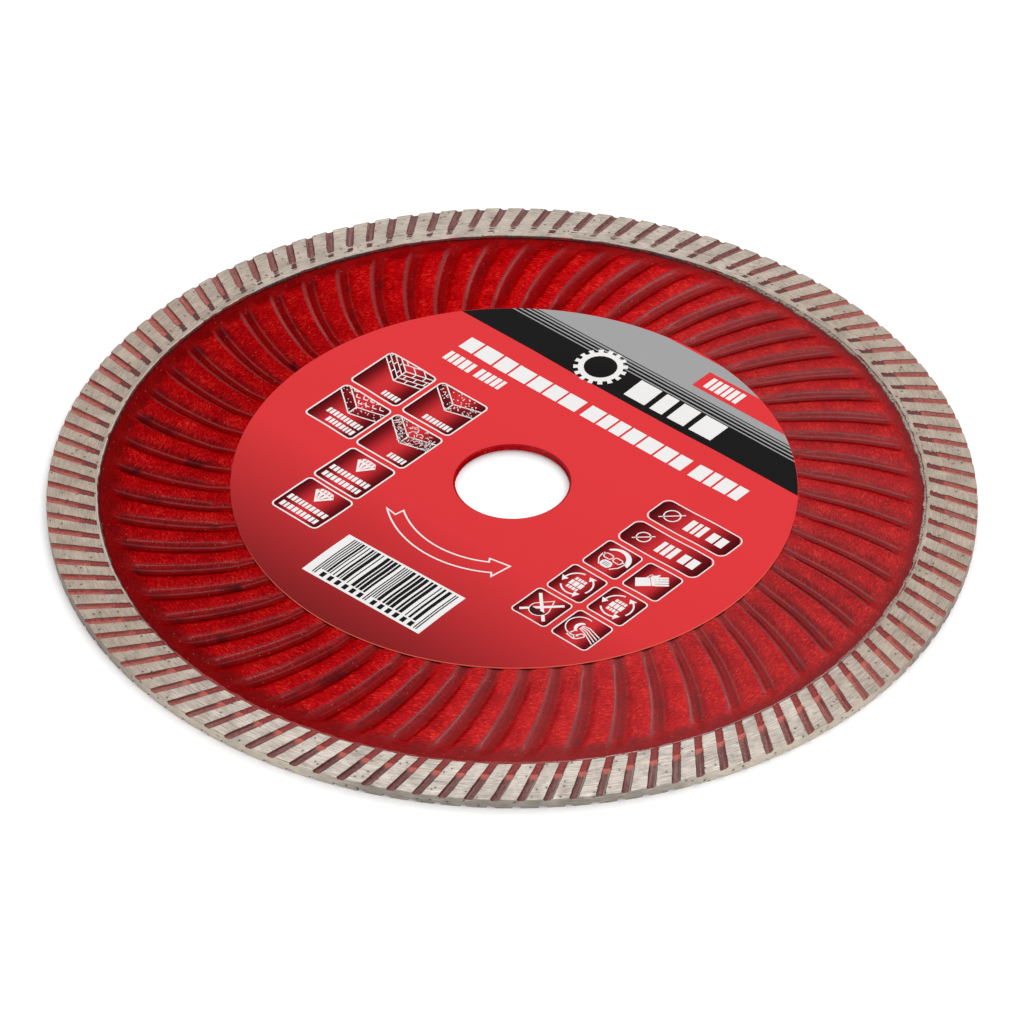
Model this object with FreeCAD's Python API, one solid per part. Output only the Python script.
import FreeCAD, Part
import math
import os

# Diamond cutting disc with a continuous grooved ("turbo") rim on a pressed wave core.
# Millimetres. The origin is the centre of the bore, halfway through the disc's
# thickness. +Z is the printed side, and the disc is cut in the XY plane.
#
# Three pieces make the disc:
#   steel_core    pressed sheet with spiral ribs; its edge is keyed into the rim
#   diamond_rim   one sintered ring, with slanted grooves in both faces
#   label         printed disc glued over the hub and resting on the ribs

# --- driving dimensions ---------------------------------------------------------

blade_diameter = 180.0
bore_diameter = 22.23

sheet_thickness = 1.2

rim_height = 10.0
rim_thickness = 2.2
rim_chamfer = 0.15

# Ribs: circular arcs that leave the hub radially and trail as they run outward.
rib_count = 60
rib_rise = 0.3              # how far a rib stands above the flat sheet
rib_arc_radius = 68.0
rib_arc_start = 38.0        # radius at which the rib's arc points straight outward
rib_turn = 2.46             # degrees, where the first rib starts
rib_root = 0.1              # how far a rib's foot reaches into the sheet
rib_half_base = 2.3         # degrees, half the rib's width at its foot
rib_half_crest = 1.5        # degrees, half the rib's width along its crest

hub_radius = 34.0           # flat clamping area in the middle
rib_full_from = 42.0        # the ribs have their full height between these radii
rib_full_to = 74.0
rib_end_radius = 78.0       # beyond this the sheet is flat again

# Grooves: straight, slanted, deep at the edge and shallow next to the core.
groove_count = 120
groove_width = 1.65
groove_depth = 0.5
groove_lead_depth = 0.22
groove_slant = 22.4         # degrees away from radial, trailing outward
groove_turn = 2.2           # degrees, where the first groove crosses its pivot radius
groove_pivot_radius = 86.5
groove_lead_radius = 80.8   # inner end of the shallow part
groove_deep_radius = 84.0   # inner end of the deep part
groove_back_turn = -0.5     # degrees, the back face's grooves against the front's

# The core's edge inside the rim, with half-round notches that lock the two together.
tongue_radius = 83.5
notch_count = 24
notch_radius = 1.6

label_diameter = 110.0
label_thickness = 0.15
label_hole_radius = 11.5
label_offset = FreeCAD.Vector(0.4, 0.2, 0)

# --- worked-out values ----------------------------------------------------------

outer_radius = blade_diameter / 2
bore_radius = bore_diameter / 2
rim_inner_radius = outer_radius - rim_height
half_rim = rim_thickness / 2
half_sheet = sheet_thickness / 2
crest_z = half_sheet + rib_rise
valley_z = half_sheet - rib_rise
beyond = 1.0                # how far cutting tools run past what they cut

axis = FreeCAD.Vector(0, 0, 1)
centre = FreeCAD.Vector(0, 0, 0)


def at(radius, degrees, z=0.0):
    """A point given by its radius, its angle from +X and its height."""
    turn = math.radians(degrees)
    return FreeCAD.Vector(radius * math.cos(turn), radius * math.sin(turn), z)


def revolved(outline):
    """The solid that a closed outline of (radius, z) points sweeps around the axis."""
    points = [FreeCAD.Vector(radius, 0, z) for radius, z in outline]
    face = Part.Face(Part.makePolygon(points + points[:1]))
    return face.revolve(centre, axis, 360)


def turned(shape, degrees):
    """A copy of the shape, turned about the disc's axis."""
    copy = shape.copy()
    copy.rotate(centre, axis, degrees)
    return copy


def ring_of(shape, count):
    """Copies of one shape, evenly spaced around the disc's axis."""
    return [turned(shape, number * 360 / count) for number in range(count)]


# --- steel core -----------------------------------------------------------------

def rib_angle(radius):
    """Angle of the rib's middle line at a radius, from where the rib starts."""
    reach = math.hypot(rib_arc_start, rib_arc_radius)
    bend = math.acos((rib_arc_start ** 2 + radius ** 2) / (2 * reach * radius))
    return math.degrees(bend - math.atan2(rib_arc_radius, rib_arc_start))


def rib_outline(inner, outer, half_width, z):
    """A rib's outline at one height: two arcs, a constant angle apart, closed at the ends."""
    middle = (inner + outer) / 2

    def edge_point(radius, side):
        return at(radius, rib_turn + rib_angle(radius) + side * half_width, z)

    def arc(side, first, last):
        ends = [edge_point(radius, side) for radius in (first, middle, last)]
        return Part.Arc(*ends).toShape()

    def cap(radius, side):
        return Part.LineSegment(edge_point(radius, side), edge_point(radius, -side)).toShape()

    return Part.Wire([arc(1, inner, outer), cap(outer, 1), arc(-1, outer, inner), cap(inner, -1)])


def make_rib():
    """One rib, from just inside the sheet to its crest; its sides and both ends slope."""
    root_z = valley_z - rib_root
    foot = rib_outline(hub_radius, rib_end_radius, rib_half_base, root_z)
    crest = rib_outline(rib_full_from, rib_full_to, rib_half_crest, crest_z)
    return Part.makeLoft([foot, crest], True, True)


def make_steel_core():
    """The pressed sheet: ribs on this face are hollows in the other."""
    outline = [
        (bore_radius, half_sheet),
        (hub_radius, half_sheet),
        (rib_full_from, valley_z),
        (rib_full_to, valley_z),
        (rib_end_radius, half_sheet),
        (tongue_radius, half_sheet),
    ]
    under = [(radius, z - sheet_thickness) for radius, z in reversed(outline)]
    sheet = revolved(outline + under)

    rib = make_rib()
    hollow = rib.copy()
    hollow.translate(FreeCAD.Vector(0, 0, -sheet_thickness))
    ribbed = sheet.multiFuse(ring_of(rib, rib_count))
    return ribbed.cut(ring_of(hollow, rib_count) + make_notches()).Solids[0]


def make_notches():
    """Cylinders that bite the half-round notches out of the core's edge."""
    notch = Part.makeCylinder(notch_radius, rim_thickness, at(tongue_radius, 0, -half_rim))
    return ring_of(notch, notch_count)


def make_tongue():
    """The flat, notched margin of the core that the rim is formed around."""
    tongue = Part.makeCylinder(tongue_radius, sheet_thickness, at(0, 0, -half_sheet))
    return tongue.cut(make_notches())


# --- diamond rim ----------------------------------------------------------------

def make_groove():
    """The tool that cuts one groove of the front face, placed at its own angle."""
    slant = math.cos(math.radians(groove_slant))
    lead = (groove_lead_radius - groove_pivot_radius) / slant
    deep = (groove_deep_radius - groove_pivot_radius) / slant
    ramp = groove_depth - groove_lead_depth
    end = (outer_radius - groove_pivot_radius) / slant + beyond
    side = [
        (lead, half_rim + beyond),
        (lead, half_rim - groove_lead_depth),
        (deep - ramp, half_rim - groove_lead_depth),
        (deep, half_rim - groove_depth),
        (end, half_rim - groove_depth),
        (end, half_rim + beyond),
    ]
    points = [FreeCAD.Vector(x, -groove_width / 2, z) for x, z in side]
    face = Part.Face(Part.makePolygon(points + points[:1]))
    groove = face.extrude(FreeCAD.Vector(0, groove_width, 0))
    groove.rotate(centre, axis, -groove_slant)
    groove.translate(FreeCAD.Vector(groove_pivot_radius, 0, 0))
    return turned(groove, groove_turn)


def make_diamond_rim():
    """One ring, grooved in both faces, formed around the core's notched edge."""
    ring = revolved([
        (rim_inner_radius, -half_rim),
        (outer_radius - rim_chamfer, -half_rim),
        (outer_radius, -half_rim + rim_chamfer),
        (outer_radius, half_rim - rim_chamfer),
        (outer_radius - rim_chamfer, half_rim),
        (rim_inner_radius, half_rim),
    ])
    front = make_groove()
    back = turned(front.mirror(centre, axis), groove_back_turn)
    ring = ring.cut(ring_of(front, groove_count) + ring_of(back, groove_count))
    return ring.cut(make_tongue()).Solids[0]


# --- label ----------------------------------------------------------------------

def make_label():
    """A thin disc that lies on the hub, dishes up onto the ribs and overhangs them."""
    edge = label_diameter / 2 + label_offset.Length + beyond
    outline = [
        (label_hole_radius, half_sheet),
        (hub_radius, half_sheet),
        (rib_full_from, crest_z),
        (edge, crest_z),
    ]
    upper = [(radius, z + label_thickness) for radius, z in reversed(outline)]
    dish = revolved(outline + upper)
    trim = Part.makeCylinder(label_diameter / 2, rim_thickness, label_offset)
    return dish.common(trim).Solids[0]


# --- write the pieces -----------------------------------------------------------

def main():
    pieces = {
        "steel_core": make_steel_core(),
        "diamond_rim": make_diamond_rim(),
        "label": make_label(),
    }
    os.makedirs("parts", exist_ok=True)
    for node, shape in pieces.items():
        shape.exportStep(f"parts/{node}.step")
        box = shape.BoundBox
        print(f"{node}: {shape.ShapeType}, valid {shape.isValid()}, {shape.Volume:.0f} mm3, "
              f"{len(shape.Faces)} faces, z {box.ZMin:.2f} to {box.ZMax:.2f}")


main()
